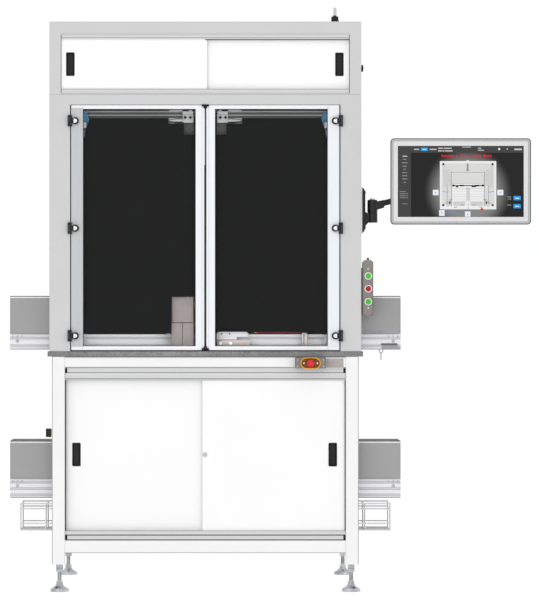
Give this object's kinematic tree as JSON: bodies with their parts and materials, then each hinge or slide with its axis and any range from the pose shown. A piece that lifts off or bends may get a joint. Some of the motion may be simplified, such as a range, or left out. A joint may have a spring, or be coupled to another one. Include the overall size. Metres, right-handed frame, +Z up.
{
  "type": "scara robot assembly cell",
  "caption": "Guarded robot assembly cell: base cabinet, hinged clear doors, header cabinet, SCARA robot, two pallet conveyors, operator panel and push-button pendant.",
  "frame": {"origin": "middle of the whole object's footprint, on the floor", "axes": "+Z up, +Y from the front doors to the back, +X to the right seen from the front"},
  "size_m": [2.003, 1.168, 2.2503],
  "materials": {
    "frame_white": "satin",
    "frame_grey": "satin",
    "door_white": "satin",
    "door_profile": "satin",
    "track": "satin",
    "conveyor_profile": "satin",
    "table": "matte",
    "steel": "gloss",
    "wire": "satin",
    "pane": "gloss",
    "black_plastic": "satin",
    "black_metal": "satin",
    "belt": "matte",
    "hood": "satin",
    "taupe": "satin",
    "estop_yellow": "satin",
    "button_red": "gloss",
    "button_green": "gloss",
    "monitor": "satin",
    "robot_white": "satin",
    "tool_metal": "satin",
    "controller": "satin"
  },
  "bodies": {
    "cell": {"lower_frame": "frame_white", "foot_front_left": "steel", "foot_front_right": "steel", "foot_rear_left": "steel", "foot_rear_right": "steel", "cabinet_shell": "frame_white", "cabinet_top_track": "track", "cabinet_bottom_track": "track", "table_plate": "table", "enclosure_frame": "frame_grey", "side_panel_left": "frame_grey", "side_panel_right": "frame_grey", "rear_panel": "frame_grey", "header_body": "frame_grey", "interlock_beam": "track", "conveyor_upper_frame": "conveyor_profile", "conveyor_upper_belt": "belt", "conveyor_lower_frame": "conveyor_profile", "conveyor_lower_belt": "belt", "tunnel_upper_left": "hood", "tunnel_upper_right": "hood", "tunnel_lower": "hood", "cable_tray": "wire", "estop_box": "taupe", "estop_guard": "estop_yellow", "pendant_box": "taupe", "hmi_wall_bracket": "black_metal", "signal_lamp": "black_plastic", "scara_base": "robot_white", "robot_controller": "controller", "sensor_housing": "taupe"},
    "header_left": {"header_door_left": "door_white", "header_pull_left": "black_plastic"},
    "header_right": {"header_door_right": "door_white", "header_pull_right": "black_plastic"},
    "cabinet_left": {"cabinet_door_left": "door_white", "cabinet_pull_left": "black_plastic"},
    "cabinet_right": {"cabinet_door_right": "door_white", "cabinet_pull_right": "black_plastic"},
    "lock": {"cabinet_lock": "steel"},
    "guard_left": {"guard_door_left_frame": "door_profile", "guard_door_left_pane": "pane"},
    "guard_right": {"guard_door_right_frame": "door_profile", "guard_door_right_pane": "pane"},
    "estop": {"estop_button": "button_red"},
    "start": {"start_button": "button_green"},
    "stop": {"stop_button": "button_red"},
    "reset": {"reset_button": "button_green"},
    "panel_arm": {"hmi_arm": "black_metal"},
    "panel_head": {"hmi_head": "black_metal"},
    "panel": {"hmi_monitor": "monitor"},
    "main_switch": {"main_switch_knob": "black_plastic"},
    "upper_drive": {"conveyor_upper_drive_roller": "steel"},
    "upper_tail": {"conveyor_upper_tail_roller": "steel"},
    "lower_drive": {"conveyor_lower_drive_roller": "steel"},
    "lower_tail": {"conveyor_lower_tail_roller": "steel"},
    "inner_arm": {"scara_inner_arm": "robot_white"},
    "outer_arm": {"scara_outer_arm": "robot_white"},
    "quill": {"scara_quill": "steel"},
    "tool": {"scara_tool": "tool_metal"}
  },
  "joints": [
    {"name": "header_door_left_slide", "type": "slide", "parent": "cell", "child": "header_left", "axis": [1, 0, 0], "range_m": [0, 0.53]},
    {"name": "header_door_right_slide", "type": "slide", "parent": "cell", "child": "header_right", "axis": [-1, 0, 0], "range_m": [0, 0.53]},
    {"name": "cabinet_door_left_slide", "type": "slide", "parent": "cell", "child": "cabinet_left", "axis": [1, 0, 0], "range_m": [0, 0.51]},
    {"name": "cabinet_door_right_slide", "type": "slide", "parent": "cell", "child": "cabinet_right", "axis": [-1, 0, 0], "range_m": [0, 0.51]},
    {"name": "cabinet_lock_turn", "type": "hinge", "parent": "cabinet_right", "child": "lock", "pos_m": [-0.2475, -0.51, 0.528], "axis": [0, 1, 0], "range_deg": [0, 90]},
    {"name": "guard_door_left_swing", "type": "hinge", "parent": "cell", "child": "guard_left", "pos_m": [-0.765, -0.528, 1.4], "axis": [0, 0, -1], "range_deg": [0, 100]},
    {"name": "guard_door_right_swing", "type": "hinge", "parent": "cell", "child": "guard_right", "pos_m": [0.272, -0.528, 1.4], "axis": [0, 0, 1], "range_deg": [0, 100]},
    {"name": "estop_press", "type": "slide", "parent": "cell", "child": "estop", "axis": [0, 1, 0], "range_m": [0, 0.004]},
    {"name": "start_press", "type": "slide", "parent": "cell", "child": "start", "axis": [0, 1, 0], "range_m": [0, 0.003], "stiffness_N_per_m": 400},
    {"name": "stop_press", "type": "slide", "parent": "cell", "child": "stop", "axis": [0, 1, 0], "range_m": [0, 0.003], "stiffness_N_per_m": 400},
    {"name": "reset_press", "type": "slide", "parent": "cell", "child": "reset", "axis": [0, 1, 0], "range_m": [0, 0.003], "stiffness_N_per_m": 400},
    {"name": "panel_arm_swing", "type": "hinge", "parent": "cell", "child": "panel_arm", "pos_m": [0.3985, -0.462, 1.48], "axis": [0, 0, 1], "range_deg": [-30, 30]},
    {"name": "panel_head_swivel", "type": "hinge", "parent": "panel_arm", "child": "panel_head", "pos_m": [0.7325, -0.462, 1.59], "axis": [0, 0, 1], "range_deg": [-8, 45]},
    {"name": "panel_tilt", "type": "hinge", "parent": "panel_head", "child": "panel", "pos_m": [0.7325, -0.51, 1.578], "axis": [1, 0, 0], "range_deg": [-15, 15]},
    {"name": "main_switch_turn", "type": "hinge", "parent": "cell", "child": "main_switch", "pos_m": [-0.8368, -0.497, 0.612], "axis": [-1, 0, 0], "range_deg": [0, 90]},
    {"name": "upper_drive_turn", "type": "hinge", "parent": "cell", "child": "upper_drive", "pos_m": [0.4805, -0.312, 0.965], "axis": [0, 1, 0], "continuous": true},
    {"name": "upper_tail_turn", "type": "hinge", "parent": "cell", "child": "upper_tail", "pos_m": [-0.9735, -0.312, 0.965], "axis": [0, 1, 0], "continuous": true},
    {"name": "lower_drive_turn", "type": "hinge", "parent": "cell", "child": "lower_drive", "pos_m": [0.4805, -0.312, 0.405], "axis": [0, 1, 0], "continuous": true},
    {"name": "lower_tail_turn", "type": "hinge", "parent": "cell", "child": "lower_tail", "pos_m": [-0.9735, -0.312, 0.405], "axis": [0, 1, 0], "continuous": true},
    {"name": "robot_j1", "type": "hinge", "parent": "cell", "child": "inner_arm", "pos_m": [-0.2465, 0.158, 1.25], "axis": [0, 0, 1], "range_deg": [-140, 70]},
    {"name": "robot_j2", "type": "hinge", "parent": "inner_arm", "child": "outer_arm", "pos_m": [-0.10311, -0.04679, 1.3], "axis": [0, 0, 1], "range_deg": [-65, 215]},
    {"name": "robot_j3", "type": "slide", "parent": "outer_arm", "child": "quill", "axis": [0, 0, -1], "range_m": [0, 0.15]},
    {"name": "robot_j4", "type": "hinge", "parent": "quill", "child": "tool", "pos_m": [-0.2638, -0.2383, 1.206], "axis": [0, 0, 1], "range_deg": [-180, 180]}
  ],
  "couplings": [
    {"joint": "upper_tail_turn", "follows": "upper_drive_turn", "ratio": 1},
    {"joint": "lower_tail_turn", "follows": "lower_drive_turn", "ratio": 1}
  ]
}
